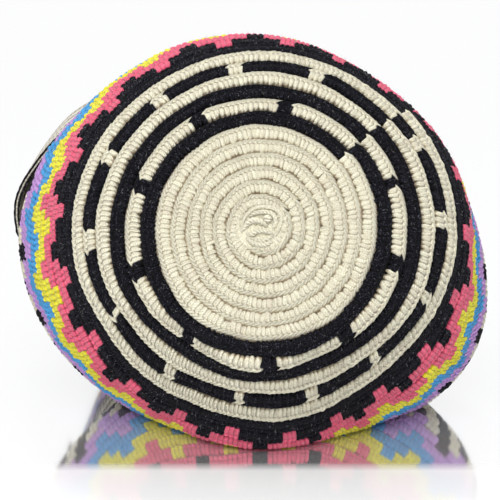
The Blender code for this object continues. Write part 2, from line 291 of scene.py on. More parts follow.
# The start of the crochet, in millimetres across, up and out from the middle of the base: each strand's
# points and its radius.
START_STRANDS = (
    ([(5.4, -5.8, 2.2), (7.6, -2.2, 3.2), (9.4, 2.6, 3.4), (8.9, 7.0, 3.4), (5.4, 9.6, 3.4),
      (0.8, 10.4, 3.4), (-3.6, 9.6, 3.3), (-7.4, 6.4, 3.2), (-9.6, 1.8, 3.0), (-10.0, -3.0, 2.0)], 1.2),
    ([(-7.4, -4.6, 2.0), (-5.2, -7.4, 3.0), (-1.2, -8.8, 3.2), (2.8, -8.2, 3.1), (6.0, -5.6, 2.2)], 1.45),
    ([(-9.2, -1.6, 2.2), (-7.0, 2.0, 3.2), (-4.0, 3.4, 3.5), (-0.6, 2.8, 3.5), (2.6, 0.8, 2.6)], 1.7),
    ([(-6.4, 5.4, 2.2), (-3.0, 7.2, 3.1), (1.2, 7.6, 3.3), (5.2, 6.4, 3.3), (6.6, 2.8, 3.1),
      (5.2, -1.2, 2.4)], 1.5),
    ([(-7.8, -3.0, 2.2), (-5.0, -3.6, 3.0), (-2.2, -2.0, 3.3), (1.6, -2.0, 3.4), (5.4, -3.2, 2.6)], 1.45),
    ([(-5.6, -5.8, 2.2), (-1.6, -6.6, 3.0), (2.4, -6.2, 3.1), (5.4, -3.6, 2.4)], 1.3),
    ([(1.6, 2.8, 2.8), (2.8, 4.2, 3.9), (3.8, 5.2, 3.4)], 2.1),
)
# Each of these strands is two plies twisted together: how far one turn of them runs, how far they lie from
# the strand's middle and how thick they are, as shares of its radius, and the points along a strand.
PLY_TWIST = 3.6
PLY_OFFSET = 0.42
PLY_THICKNESS = 0.66
START_STATIONS = 40
# The plug of yarn between the loops: its radius, the step between its rings, and its spokes.
PLUG_RADIUS = 12.6
PLUG_STEP = 0.5
PLUG_SPOKES = 48

# The strap's weave: cords side by side, the dark ones among them, and the dark threads on its front edge.
STRAP_CORDS = 25
STRAP_CORD = STRAP_WIDTH / STRAP_CORDS
STRAP_DARK_CORDS = (1, 3, 8, 9, 15, 16, 21, 23)
CORD_FACE = ((0.0, 0.0), (0.22, 0.75), (0.5, 1.0), (0.78, 0.75))
CORD_RELIEF = 0.00045
STRAP_STATION = 0.0021
STRAP_EDGE_WIDTH = 0.0012
STRAP_EDGE_BULGE = 0.0007
EDGE_THREADS = (-0.0011, 0.0011)
EDGE_THREAD_RADIUS = 0.00050
EDGE_THREAD_BEADS = 0.00014
EDGE_THREAD_PITCH = 0.0036

# Fine hairs that stand off the yarn: how many, how thick, how high on the cloth, and the rounds they lie on.
FIBRES = 1600
FIBRE_RADIUS = 0.00004
FIBRE_HEIGHT = 0.0033
FIBRE_STEPS = 4
FIBRE_ROUNDS = (8.0, 9.2, 10.2, 12.5, 14.2, 15.2, 16.4, 17.5)

# How finely the cloth is sampled, along it in metres and around it in degrees.
GRID_STEP = 0.001
GRID_TURN = 1.25
# Where the cloth is this close to the floor its stitches are flattened. No point lies lower than the second.
PRESSED_ZONE = 0.002
LOWEST_POINT = 0.0002

random = np.random.default_rng(7)


def ease(x):
    """0 below 0, 1 above 1, smooth between."""
    x = np.clip(x, 0.0, 1.0)
    return x * x * (3.0 - 2.0 * x)


def rest_on(height, floor, blend):
    """The larger of height and floor, with a rounded change of width 2 * blend between them."""
    above = height - floor
    rounded = (above + blend) ** 2 / (4.0 * blend)
    return floor + np.where(above > blend, above, np.where(above < -blend, 0.0, rounded))


def waves(parts, turn):
    """The sum of slow waves around the bag, at each angle."""
    total = np.zeros_like(turn)
    for count, cosine, sine in parts:
        total = total + cosine * np.cos(count * turn) + sine * np.sin(count * turn)
    return total


def spine(depth):
    """Points of the bag's centre line and its slope, for each depth behind the base."""
    steps = np.arange(-0.03, 0.45, 0.001)
    slope = -math.radians(BASE_TILT) * (1.0 - ease(steps / SPINE_RUN))
    back = np.cumsum(np.cos(slope)) * 0.001
    rise = np.cumsum(np.sin(slope)) * 0.001
    back -= np.interp(0.0, steps, back)
    rise -= np.interp(0.0, steps, rise)
    return np.interp(depth, steps, back), np.interp(depth, steps, rise), np.interp(depth, steps, slope)


def middle_cloth(along, around):
    """The middle of the cloth at each distance along it from the centre of the base and each angle around it.

    along is a rising array from 0, and around holds angles in radians. The result is (along, around, xyz).
    """
    s, turn = np.meshgrid(along, around, indexing="ij")
    corner = BASE_FLAT + BASE_FLAT_SIDE * np.cos(turn) + BASE_FLAT_UP * np.sin(turn)
    corner = corner + waves(CORNER_WAVES, turn)
    half = CORNER_HALF + CORNER_HALF_UP * np.sin(turn) + waves(HALF_WAVES, turn)
    half = np.maximum(half, CORNER_HALF_LEAST)
    corner_turn = CORNER_TURN + waves(TURN_WAVES, turn)
    angle = corner_turn * ease((s - corner + half) / (2.0 * half))
    angle = angle + (WALL_TURN - corner_turn) * ease((s - corner) / WALL_RUN)
    step = np.diff(along, prepend=0.0)[:, None]
    radius = np.cumsum(np.cos(np.radians(angle)) * step, axis=0)
    depth = np.cumsum(np.sin(np.radians(angle)) * step, axis=0)
    slumped = ease(depth / SLUMP_RUN)
    wide = OVAL * np.cos(2.0 * (turn - math.radians(OVAL_ANGLE))) + waves(WALL_WAVES, turn)
    radius = radius * (1.0 + slumped * wide)
    side = radius * np.cos(turn) + SLUMP_SIDE * slumped
    up = radius * np.sin(turn)
    back, rise, slope = spine(depth)
    yaw = math.radians(BASE_YAW)
    x = back * math.sin(yaw) + side * math.cos(yaw) - up * np.sin(slope) * math.sin(yaw)
    y = back * math.cos(yaw) - side * math.sin(yaw) - up * np.sin(slope) * math.cos(yaw)
    z = BASE_HEIGHT + rise + up * np.cos(slope) + SLUMP_DOWN * slumped
    necked = ease((y - NECK_START) / (NECK_END - NECK_START))
    # One side of the neck bulges out.
    push = math.radians(NECK_PUSH_ANGLE)
    bulge = NECK_PUSH * necked * np.maximum(np.cos(turn - push), 0.0) ** 4
    x = x * (1.0 - NECK_NARROW * necked) + bulge * math.cos(push)
    z = z * (1.0 - NECK_DROP * necked) + bulge * math.sin(push)
    z = rest_on(z, BODY_WALL / 2.0, FLOOR_BLEND)
    return np.stack([x, y, z], axis=-1)


def unit(vectors):
    """The vectors with length 1."""
    return vectors / np.linalg.norm(vectors, axis=-1, keepdims=True)


def settled_grid():
    """A fine grid of the cloth: distances along it, angles around it, its middle and outward direction."""
    along = np.arange(0.0, (ROUNDS + 2) * ROUND_PITCH, GRID_STEP)
    around = np.radians(np.arange(0.0, 360.0 + GRID_TURN / 2.0, GRID_TURN))
    cloth = middle_cloth(along, around)
    d_along = np.gradient(cloth, axis=0)
    wrapped = np.concatenate([cloth[:, -2:-1], cloth, cloth[:, 1:2]], axis=1)
    d_around = wrapped[:, 2:] - wrapped[:, :-2]
    # At the centre of the base the outward direction is that of the cloth beside it.
    d_around[0] = d_around[2]
    outward = unit(np.cross(d_along, d_around))
    outward[:3] = outward[3].mean(axis=0)
    return along, around, cloth, unit(outward)


def sample(grid, along, around, field):
    """Bilinear reading of a field of the grid."""
    i = np.clip(along / (grid[0][1] - grid[0][0]), 0, len(grid[0]) - 1.001)
    j = np.clip(np.mod(around, math.tau) / (grid[1][1] - grid[1][0]), 0, len(grid[1]) - 1.001)
    row = i.astype(int)
    column = j.astype(int)
    down = (i - row)[:, None]
    over = (j - column)[:, None]
    low = field[row, column] * (1 - over) + field[row, column + 1] * over
    high = field[row + 1, column] * (1 - over) + field[row + 1, column + 1] * over
    return low * (1 - down) + high * down


def place(grid, along, around, height):
    """Where a point of the cloth is on the lying bag, height metres outside the middle of the cloth."""
    shape = along.shape
    along = along.ravel()
    around = around.ravel()
    height = height.ravel()
    cloth = sample(grid, along, around, grid[2])
    outward = unit(sample(grid, along, around, grid[3]))
    # Where the cloth is pressed on the floor its stitches are flat.
    pressed = 1.0 - ease((cloth[:, 2] - BODY_WALL / 2.0) / PRESSED_ZONE)
    relief = np.maximum(height - BODY_WALL / 2.0, 0.0)
    points = cloth + outward * (height - relief * pressed)[:, None]
    points[:, 2] = np.maximum(points[:, 2], LOWEST_POINT)
    return (points + ROW_SHIFT).reshape(shape + (3,))


def add_object(name, data):
    """A new object in the scene."""
    obj = bpy.data.objects.new(name, data)
    bpy.context.scene.collection.objects.link(obj)
    return obj


def new_piece(name, node, points, quads, materials, quad_material, uv, fields):
    """A mesh piece of quads that replaces a node. uv and the number fields are given per point."""
    points = points.reshape(-1, 3)
    uv = uv.reshape(-1, 2)
    mesh = bpy.data.meshes.new(name)
    mesh.vertices.add(len(points))
    mesh.vertices.foreach_set("co", np.ascontiguousarray(points, dtype=np.float32).ravel())
    mesh.loops.add(quads.size)
    mesh.loops.foreach_set("vertex_index", quads.astype(np.int32).ravel())
    mesh.polygons.add(len(quads))
    mesh.polygons.foreach_set("loop_start", np.arange(0, quads.size, quads.shape[1], dtype=np.int32))
    if quad_material is not None:
        mesh.polygons.foreach_set("material_index", quad_material.astype(np.int32))
    mesh.polygons.foreach_set("use_smooth", np.full(len(quads), True))
    mesh.update(calc_edges=True)
    for material in materials:
        mesh.materials.append(material)
    layer = mesh.uv_layers.new(name="yarn")
    layer.data.foreach_set("uv", uv[quads.ravel()].astype(np.float32).ravel())
    for key, values in fields.items():
        field = mesh.attributes.new(key, "FLOAT", "POINT")
        field.data.foreach_set("value", values.astype(np.float32).ravel())
    mesh.validate()
    obj = add_object(name, mesh)
    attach(obj, "root")
    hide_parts(node)
    return obj


def grid_quads(rows, columns, closed=False, looped=False):
    """Quads of a grid of points. closed joins the last column to the first, and looped the last row too."""
    r = np.arange(rows if looped else rows - 1)[:, None]
    c = np.arange(columns if closed else columns - 1)[None, :]
    here = r * columns
    next_row = (r + 1) % rows * columns
    after = (c + 1) % columns
    return np.stack([here + c, next_row + c, next_row + after, here + after], axis=-1).reshape(-1, 4)


def joined(parts):
    """One mesh of several, each given as points, quads, uv and, as far as there are any, more arrays."""
    starts = np.cumsum([0] + [len(part[0]) for part in parts[:-1]])
    columns = list(zip(*parts))
    columns[1] = [quads + start for quads, start in zip(columns[1], starts)]
    return [np.concatenate(column) for column in columns]


def uv_of(across, along):
    """uv from two arrays that are spread to the same shape."""
    return np.stack(np.broadcast_arrays(across, along), axis=-1)


def run_along(path):
    """How far along a path each of its points lies."""
    return np.concatenate([[0.0], np.cumsum(np.linalg.norm(np.diff(path, axis=0), axis=1))])


def resampled(path, run, at):
    """The points of a plane path at some distances along it."""
    return np.stack([np.interp(at, run, path[:, i]) for i in range(2)], axis=1)


def feed(tree, socket, value):
    """Gives a socket a number, a colour or the output of another node."""
    if isinstance(value, bpy.types.NodeSocket):
        tree.links.new(value, socket)
    else:
        socket.default_value = (*value, 1.0) if isinstance(value, tuple) else value


def add_node(tree, kind, inputs, **settings):
    """A new shader node with its settings and the values of its inputs."""
    node = tree.nodes.new("ShaderNode" + kind)
    for name, value in settings.items():
        setattr(node, name, value)
    for socket, value in inputs.items():
        feed(tree, node.inputs[socket], value)
    return node


def math_node(tree, operation, first, second):
    """The result of a calculation with two values."""
    return add_node(tree, "Math", {0: first, 1: second}, operation=operation).outputs[0]


def mix_color(tree, factor, a, b):
    """A colour between a and b."""
    return add_node(tree, "Mix", {0: factor, 6: a, 7: b}, data_type="RGBA").outputs[2]


def laid_over(tree, base, color, mask, amount):
    """base with some colour over it where mask is 1. Where amount is negative, it lies where mask is 0."""
    if amount < 0.0:
        mask = math_node(tree, "SUBTRACT", 1.0, mask)
    return mix_color(tree, math_node(tree, "MULTIPLY", mask, abs(amount)), base, color)


def map_range(tree, value, ranges, interpolation="LINEAR"):
    """A value carried from one range to another."""
    return add_node(tree, "MapRange", {**ranges, "Value": value}, interpolation_type=interpolation).outputs[0]


def ramp(tree, value, low, high):
    """0 where value is at low or beyond it, 1 at high or beyond that, smooth between."""
    return map_range(tree, value, {"From Min": low, "From Max": high}, "SMOOTHSTEP")


def noise(tree, vector, scale, detail=2.0):
    """A noise between 0 and 1."""
    return add_node(tree, "TexNoise", {"Scale": scale, "Detail": detail, "Vector": vector}).outputs["Fac"]


def new_material(name, settings):
    """A material, its node tree and its shader, with the sockets that settings names set."""
    material = bpy.data.materials.new(name)
    material.use_nodes = True
    tree = material.node_tree
    shader = tree.nodes["Principled BSDF"]
    for socket, value in settings.items():
        feed(tree, shader.inputs[socket], value)
    return material, tree, shader


def field_node(tree, name):
    """The value of one of a mesh's number fields."""
    return add_node(tree, "Attribute", {}, attribute_name=name).outputs["Fac"]


def place_node(tree):
    """The place in the object, whose origin is that of the part."""
    return add_node(tree, "TexCoord", {}).outputs["Object"]


def uv_node(tree):
    """The uv of the yarn."""
    return add_node(tree, "UVMap", {}, uv_map="yarn").outputs[0]


def finish_cotton(tree, shader, base, threads, fibres, fibre, strength):
    """Gives the shader its colour and its bump, of the threads and some of the fibres."""
    relief = math_node(tree, "ADD", threads, math_node(tree, "MULTIPLY", fibres, fibre))
    bump = add_node(tree, "Bump", {"Strength": strength, "Distance": 0.0004, "Height": relief})
    feed(tree, shader.inputs["Base Color"], base)
    feed(tree, shader.inputs["Normal"], bump.outputs[0])


def yarn_material(name, color, painted_shade_color, speck=None, speck_share=0.5, sheen=0.25, fibre=0.5, speck_from=0.56):
    """Cotton yarn: plies across each strand, fine fibres, painted shade between the strands and in the plies.
    """
    settings = {
        "Roughness": 0.88,
        "Specular IOR Level": 0.18,
        "Sheen Weight": sheen,
        "Sheen Roughness": 0.45,
        "Sheen Tint": (0.9, 0.9, 0.95),
    }
    material, tree, shader = new_material(name, settings)
    bands = {"Scale": PLY_BANDS, "Distortion": 1.2, "Detail": 1.0, "Vector": uv_node(tree)}
    plies = add_node(tree, "TexWave", bands, wave_type="BANDS", bands_direction="DIAGONAL").outputs["Fac"]
    fibres = noise(tree, place_node(tree), 1900.0, 3.0)
    patches = noise(tree, place_node(tree), 60.0)
    dark = tuple(0.90 * c for c in color)
    light = tuple(min(1.0, 1.05 * c) for c in color)
    base = mix_color(tree, field_node(tree, "tone"), dark, light)
    base = laid_over(tree, base, light, ramp(tree, patches, 0.35, 0.65), 0.25)
    # Painted shade: the shade colour lies in the grooves between the plies.
    base = laid_over(tree, base, painted_shade_color, plies, -0.14)
    if speck is not None:
        base = laid_over(tree, base, speck, ramp(tree, fibres, speck_from, 0.70), speck_share)
    else:
        # Painted shade: darker flecks of the shade colour where the fibres dip.
        base = laid_over(tree, base, painted_shade_color, ramp(tree, fibres, 0.56, 0.36), 0.34)
    # Painted shade: the shade colour between strands and chain links, where the depth field is low.
    base = laid_over(tree, base, painted_shade_color, ramp(tree, field_node(tree, "depth"), -0.3, 0.8), -0.85)
    finish_cotton(tree, shader, base, plies, fibres, fibre, 0.9)
    return material


def srgb(red, green, blue):
    """Linear values of an 8-bit colour."""
    shares = [value / 255.0 for value in (red, green, blue)]
    return tuple(((c + 0.055) / 1.055) ** 2.4 if c > 0.04045 else c / 12.92 for c in shares)


# Each yarn's second colour is the colour of its painted shade.
cream_yarn = yarn_material("cream_cotton", srgb(255, 248, 224), srgb(160, 137, 101))
black_yarn = yarn_material(
    "black_cotton", srgb(5, 4, 12), srgb(1, 1, 3), srgb(120, 120, 142), 0.6, 0.02, 1.2, 0.58
)
coral_yarn = yarn_material("coral_cotton", srgb(246, 104, 134), srgb(140, 28, 58), srgb(255, 170, 185), 0.35)
yellow_yarn = yarn_material("yellow_cotton", srgb(255, 246, 62), srgb(190, 165, 20))
blue_yarn = yarn_material("blue_cotton", srgb(70, 172, 238), srgb(16, 84, 150), srgb(130, 200, 245), 0.3)
lilac_yarn = yarn_material("lilac_cotton", srgb(222, 172, 244), srgb(134, 84, 158))
YARNS = (cream_yarn, black_yarn, coral_yarn, yellow_yarn, blue_yarn, lilac_yarn)


def period_of(turn):
    """How many pattern periods lie between the jog's first peak and an angle around the bag, in degrees."""
    return np.interp(turn, PEAK_TURNS, PEAK_NUMBERS)


def turn_of(period):
    """The angle around the bag, in degrees, this many pattern periods behind the jog's first peak."""
    return np.interp(period, PEAK_NUMBERS, PEAK_TURNS)


def strand_edges(round_index):
    """Angles around the bag, in degrees, where the strands of a round begin and where the last one ends."""
    if round_index < WALL_START:
        count = STRANDS_PER_ROUND[round_index]
        return JOG + np.linspace(0.0, 360.0, count + 1)
    first = period_of(JOG)
    return turn_of(np.linspace(first, first + len(PEAKS), WALL_STRANDS + 1))


def inside_dash(turn, dashes):
    """Whether each angle lies in one of the dashes."""
    return np.any([(turn > low) & (turn < high) for low, high in dashes], axis=0)


def yarn_of(round_index, turn):
    """The yarn of each strand of a round, from the angles of the strands' middles."""
    if round_index < BASE_START or round_index in CREAM_ROUNDS:
        return np.full(turn.shape, CREAM)
    if round_index in BLACK_ROUNDS:
        return np.full(turn.shape, BLACK)
    if round_index == CREAM_DASH_ROUND:
        return np.where(inside_dash(turn, CREAM_DASHES), CREAM, BLACK)
    if round_index == BLACK_DASH_ROUND:
        return np.where(inside_dash(turn, BLACK_DASHES), BLACK, CREAM)
    period = period_of(turn)
    if round_index == BLOCK_ROUND:
        return np.where(np.mod(period + 0.1, 1.0) < 0.75, CREAM, BLACK)
    quarter = np.floor(np.mod(period + 0.125, 1.0) * 4.0).astype(int)
    down = round_index < BLOCK_ROUND
    row = (round_index - BANDS_DOWN if down else BANDS_UP - round_index) - np.array(STEPS)[quarter]
    # Black and cream bars follow the bands that run down, and black the others.
    bars = np.where((np.mod(2.0 * period + 0.25, 1.0) < 0.5) | (not down), BLACK, CREAM)
    return np.select([row < 0, *(row < 2 * i + 2 for i in range(4))], [BLACK, *BAND_YARNS], bars)


def drawn_in(along, turn):
    """How far inwards a round is drawn, in metres."""
    table = np.array(DRAWN_IN)
    rounds = along / ROUND_PITCH
    even = np.interp(rounds, table[:, 0], table[:, 1])
    sides = np.interp(rounds, table[:, 0], table[:, 2])
    right = np.interp(rounds, table[:, 0], table[:, 3])
    return 0.001 * (even + sides * np.cos(2.0 * turn) + right * np.cos(turn))


def uneven(count, spread, low=-np.inf, high=np.inf):
    """Random values around 0, no lower than low and no higher than high."""
    return np.clip(spread * random.standard_normal(count), low, high)


def turn_at(edges, number):
    """The angle of each strand number, which may lie a little before the first strand or behind the last."""
    last = len(edges) - 1
    turn = np.interp(number, np.arange(len(edges)), edges)
    turn = np.where(number < 0.0, edges[0] + number * (edges[1] - edges[0]), turn)
    return np.where(number > last, edges[-1] + (number - last) * (edges[-1] - edges[-2]), turn)


def strand_columns(strands, columns):
    """The columns of a round's strands: number, strand, place in the strand, height and kind."""
    offsets, bulge, kinds = np.array(columns).T
    count = len(strands)
    # The last column closes the last strand.
    return (
        np.append((strands[:, None] + offsets).ravel(), strands[-1] + 1.0),
        np.append(np.repeat(np.arange(count), len(columns)), count - 1),
        np.append(np.tile(offsets, count), 1.0),
        np.append(np.tile(bulge, count), 0.0),
        np.append(np.tile(kinds, count), EDGE_COLUMN),
    )


def sway(parts, turn, round_index):
    """The sum of slow waves around a round."""
    return sum(size * np.sin(count * turn + shift * round_index) for size, count, shift in parts)


def stitch_round(grid, round_index, rows, columns):
    """Points, quads, uv, yarns, tones and depths of one round of stitches; the depths set its painted shade.
    """
    edges = strand_edges(round_index)
    start_at = (round_index - FIRST_ROUND_BACK) * ROUND_PITCH
    rim = ROUNDS * ROUND_PITCH
    inner = start_at + (edges - JOG) / 360.0 * ROUND_PITCH
    strands = np.nonzero((inner[:-1] >= FIRST_STRAND_AT) & (inner[:-1] < rim - 0.0004))[0]
    if len(strands) == 0:
        return None
    relief, slant, loose, rough, foot_drawn, foot_round = LAYS[
        (round_index >= BASE_START) + (round_index >= WALL_START)
    ]
    count = len(strands) + 1
    tall = 1.0 + uneven(count, TALL_SPREAD)
    tip = uneven(count, TIP_SPREAD, -0.10, 0.12)
    tilt = loose * (STRAND_LEAN + uneven(count, LEAN_SPREAD * rough, -0.40, 0.40))
    if round_index >= WALL_START:
        tilt = tilt - WALL_STANDS * np.cos(np.radians(edges[strands[0] : strands[0] + count]))
    width = loose * uneven(count, WIDTH_SPREAD * rough, -0.20, 0.20)
    gap = uneven(count, GAP_SPREAD, -0.3, 0.3)
    crease = np.clip(CREASE + uneven(count, CREASE_SPREAD), 0.0, 0.60)
    split = uneven(count, SPLIT_SPREAD)
    link_tall = 1.0 + uneven(count, TALL_SPREAD)
    tone = np.clip(0.5 + uneven(count, TONE_SPREAD), 0.0, 1.0)
    even, which, side, rounding, kind = strand_columns(strands, columns)
    number = even + np.where(kind == EDGE_COLUMN, width[which], 0.0)
    number = number + np.where(kind == INNER_COLUMN, split[which], 0.0)
    # One link of the chain lies over each strand.
    link_round = np.sin(math.pi * np.mod(even, 1.0)) ** LINK_POWER
    link_of = np.clip(even.astype(int), 0, count - 1)
    made = []
    for place_in, level, lit, lean, is_chain in rows:
        across = np.full(len(number), place_in)
        if is_chain:
            turn = turn_at(edges, even + 2.0 * lean * slant)
            shape = (CHAIN_GAP + (1.0 - CHAIN_GAP) * link_round) * link_tall[link_of]
            lit_share = 0.5 + 0.5 * shape
        else:
            foot = 1.0 - place_in / LEAN_SPAN
            drawn = foot_drawn * foot * (side - 0.5) * (kind == LEG_COLUMN)
            turn = turn_at(edges, number + tilt[which] * foot - drawn)
            near = 1.0 - ease(place_in / FOOT_SPAN)
            across = across + near * (foot_round * (1.0 - rounding) + tip[which])
            top = min(max(place_in / GAP_SPAN, 0.0), 1.0)
            gaps = EDGE_GAP[0] + (EDGE_GAP[1] - EDGE_GAP[0]) * top + 0.6 * gap[which]
            gaps = np.clip(gaps, 0.0, 0.9)
            shape = (gaps + (1.0 - gaps) * rounding) * tall[which]
            shape = shape - crease[which] * (kind == INNER_COLUMN)
            lit_share = 0.2 + 0.8 * shape
        # Rows with a negative height are sunk in the cloth, and level.
        swell = level * shape if level > 0 else level
        swell = swell + uneven(len(number), SWELL_SPREAD)
        low = start_at + (turn - JOG) / 360.0 * ROUND_PITCH
        high = np.minimum(low + ROUND_PITCH, rim)
        low = np.minimum(low, rim - 0.0002)
        turn = np.radians(turn)
        distance = np.maximum(low + across * (high - low), 0.0)
        # How lit each point looks: the yarn materials paint shade where this is low.
        depth = lit * lit_share if lit > 0 else np.full(len(number), lit)
        made.append((turn, distance - drawn_in(distance, turn), STITCH_FOOT + relief * swell, depth))
    turn, along, height, depth = np.array(made).transpose(1, 0, 2)
    height = height + sway(HEIGHT_SWAY, turn, round_index)
    along = along + sway(ALONG_SWAY, turn, round_index)
    points = place(grid, along, turn, height)
    yarns = yarn_of(round_index, 0.5 * (edges[strands] + edges[strands + 1]))
    quad_yarns = np.tile(np.repeat(yarns, len(columns)), len(rows) - 1)
    arc = np.maximum(along, 0.004) * np.radians(edges[1] - edges[0])
    uv = uv_of(side * arc * 1000.0, (along - along[0]) * 1000.0).reshape(-1, 2)
    quads = grid_quads(len(rows), len(number))
    return points.reshape(-1, 3), quads, uv, quad_yarns, np.tile(tone[which], len(rows)), depth.ravel()


def stitch_piece(grid, name, first, last, rows, columns):
    """The stitches of some rounds, as one piece."""
    made = [stitch_round(grid, round_index, rows, columns) for round_index in range(first, last + 1)]
    points, quads, uv, yarns, tones, depths = joined([part for part in made if part is not None])
    # The depth field carries the painted shade between the stitches.
    fields = {"tone": tones, "depth": depths}
    new_piece(name, "bag_body", points, quads, YARNS, yarns, uv, fields)


def lining(grid):
    """The wrong side of the crochet, seen through the mouth."""
    rows = ROUNDS * LINING_ROWS_PER_ROUND + 1
    shape = (rows, LINING_COLUMNS)
    around = JOG + np.arange(LINING_COLUMNS) / LINING_COLUMNS * 360.0
    turn = np.broadcast_to(np.radians(around), shape)
    distance = np.broadcast_to(np.arange(rows)[:, None] / LINING_ROWS_PER_ROUND * ROUND_PITCH, shape)
    phase = distance / ROUND_PITCH + FIRST_ROUND_BACK - (around - JOG) / 360.0
    ridge = 0.5 + 0.5 * np.cos(math.tau * (phase - 0.5))
    strand = 0.5 + 0.5 * np.cos(math.pi * np.arange(LINING_COLUMNS))
    height = LINING_HEIGHT - LINING_RELIEF * ridge * (0.7 + 0.3 * strand)
    points = place(grid, distance, turn, height)
    quads = grid_quads(rows, LINING_COLUMNS, closed=True)[:, ::-1]
    middle = around + 180.0 / LINING_COLUMNS
    at = (np.arange(rows - 1)[:, None] + 0.5) / LINING_ROWS_PER_ROUND
    number = np.floor(at + FIRST_ROUND_BACK - (middle - JOG) / 360.0).astype(int).clip(0, ROUNDS)
    yarns = np.zeros(number.shape, dtype=int)
    for round_index in range(ROUNDS + 1):
        yarns = np.where(number == round_index, yarn_of(round_index, middle), yarns)
    uv = uv_of(distance * 1000.0, turn * 100.0)
    # Painted shade: the depth field darkens the lining between its ridges.
    fields = {"tone": 0.35 + 0.2 * random.random(shape), "depth": 0.35 + 0.5 * ridge}
    new_piece("crochet_lining", "bag_body", points, quads, YARNS, yarns.ravel(), uv, fields)


def rim_edge(grid):
    """The last chain, which closes the edge of the mouth."""
    stations = 2 * WALL_STRANDS
    ring = 10
    station = np.arange(stations)[:, None]
    part = np.arange(ring)[None, :] / ring * math.tau
    link_shape = 0.82 + 0.18 * np.abs(np.sin(math.pi * station / 2.0 + 0.6 * np.sin(part)))
    radius = RIM_RADIUS * link_shape
    along = ROUNDS * ROUND_PITCH - 0.0006 + 0.75 * radius * np.cos(part)
    around = np.broadcast_to(station / stations * math.tau, along.shape)
    points = place(grid, along, around, radius * np.sin(part))
    quads = grid_quads(stations, ring, closed=True, looped=True)[:, ::-1]
    uv = uv_of(around * 126.0, part * 2.0)
    # Painted shade: the depth field darkens the chain where its links narrow, between them.
    fields = {"tone": np.full(along.shape, 0.5), "depth": (link_shape - 0.6) * 2.4}
    new_piece("crochet_rim", "bag_body", points, quads, (cream_yarn,), None, uv, fields)


def tube(path, radius, sides):
    """Points, quads and uv of a round tube along a path of 3-D points, with a radius for each."""
    tangent = unit(np.gradient(path, axis=0))
    # The tubes start to turn from a direction that none of them runs in.
    first = unit(np.cross(tangent, (0.31, -0.62, 0.72)))
    second = np.cross(tangent, first)
    part = np.arange(sides) / sides * math.tau
    around = np.cos(part)[:, None] * first[:, None, :] + np.sin(part)[:, None] * second[:, None, :]
    points = path[:, None, :] + around * radius[:, None, None]
    uv = uv_of(part * 1.2, run_along(path)[:, None] * 1000.0)
    return points.reshape(-1, 3), grid_quads(len(path), sides, closed=True), uv.reshape(-1, 2)


def smooth_path(points, count):
    """A smooth line of count points through the given ones."""
    points = np.asarray(points, dtype=float)
    padded = np.concatenate([[2 * points[0] - points[1]], points, [2 * points[-1] - points[-2]]])
    at = np.linspace(0.0, len(points) - 1.0001, count)
    i = at.astype(int)
    f = (at - i)[:, None]
    a, b, c, d = (padded[i + k] for k in range(4))
    return 0.5 * (2 * b + (c - a) * f + (2 * a - 5 * b + 4 * c - d) * f * f + (3 * b - a - 3 * c + d) * f**3)


def tubes_piece(name, node, tubes, material, depth=1.0):
    """Tubes as one piece."""
    points, quads, uv = joined(tubes)
    fields = {"tone": np.full(len(points), 0.5), "depth": np.full(len(points), depth)}
    new_piece(name, node, points, quads, (material,), None, uv, fields)


def base_points(grid, flat):
    """Places points given in mm across, mm up and mm out on the middle of the base."""
    flat = np.asarray(flat) / 1000.0
    along = np.hypot(flat[:, 0], flat[:, 1])
    around = np.arctan2(flat[:, 1], flat[:, 0])
    return place(grid, along, around, flat[:, 2])


def start_knot(grid):
    """The looped start of the crochet at the centre of the base."""
    tubes = []
    for flat, radius in START_STRANDS:
        line = smooth_path(flat, START_STATIONS)
        ends = np.sin(np.linspace(0.14, math.pi - 0.14, START_STATIONS)) ** 0.4
        ahead = unit(np.gradient(line[:, :2], axis=0))
        for ply in (0.0, math.pi):
            phase = ply + math.tau * run_along(line) / PLY_TWIST
            aside = np.cos(phase)
            offset = np.stack([-ahead[:, 1] * aside, ahead[:, 0] * aside, np.sin(phase)], axis=1)
            path = base_points(grid, line + PLY_OFFSET * radius * ends[:, None] * offset)
            tubes.append(tube(path, PLY_THICKNESS * radius / 1000.0 * ends, 10))
    # A plug of yarn closes the hole between the loops.
    rings = np.arange(0.0, PLUG_RADIUS, PLUG_STEP)[:, None]
    part = np.arange(PLUG_SPOKES) / PLUG_SPOKES * math.tau
    across = rings * np.cos(part)
    up = rings * np.sin(part)
    out = 2.5 + 0.35 * np.sin(rings * 1.7 + 2.0 * part)
    flat = np.stack([across, up, out], axis=-1).reshape(-1, 3)
    plug = grid_quads(len(rings), PLUG_SPOKES, closed=True)[:, ::-1]
    tubes.append((base_points(grid, flat), plug, flat[:, :2]))
    tubes_piece("crochet_start", "bag_body", tubes, cream_yarn, 0.85)


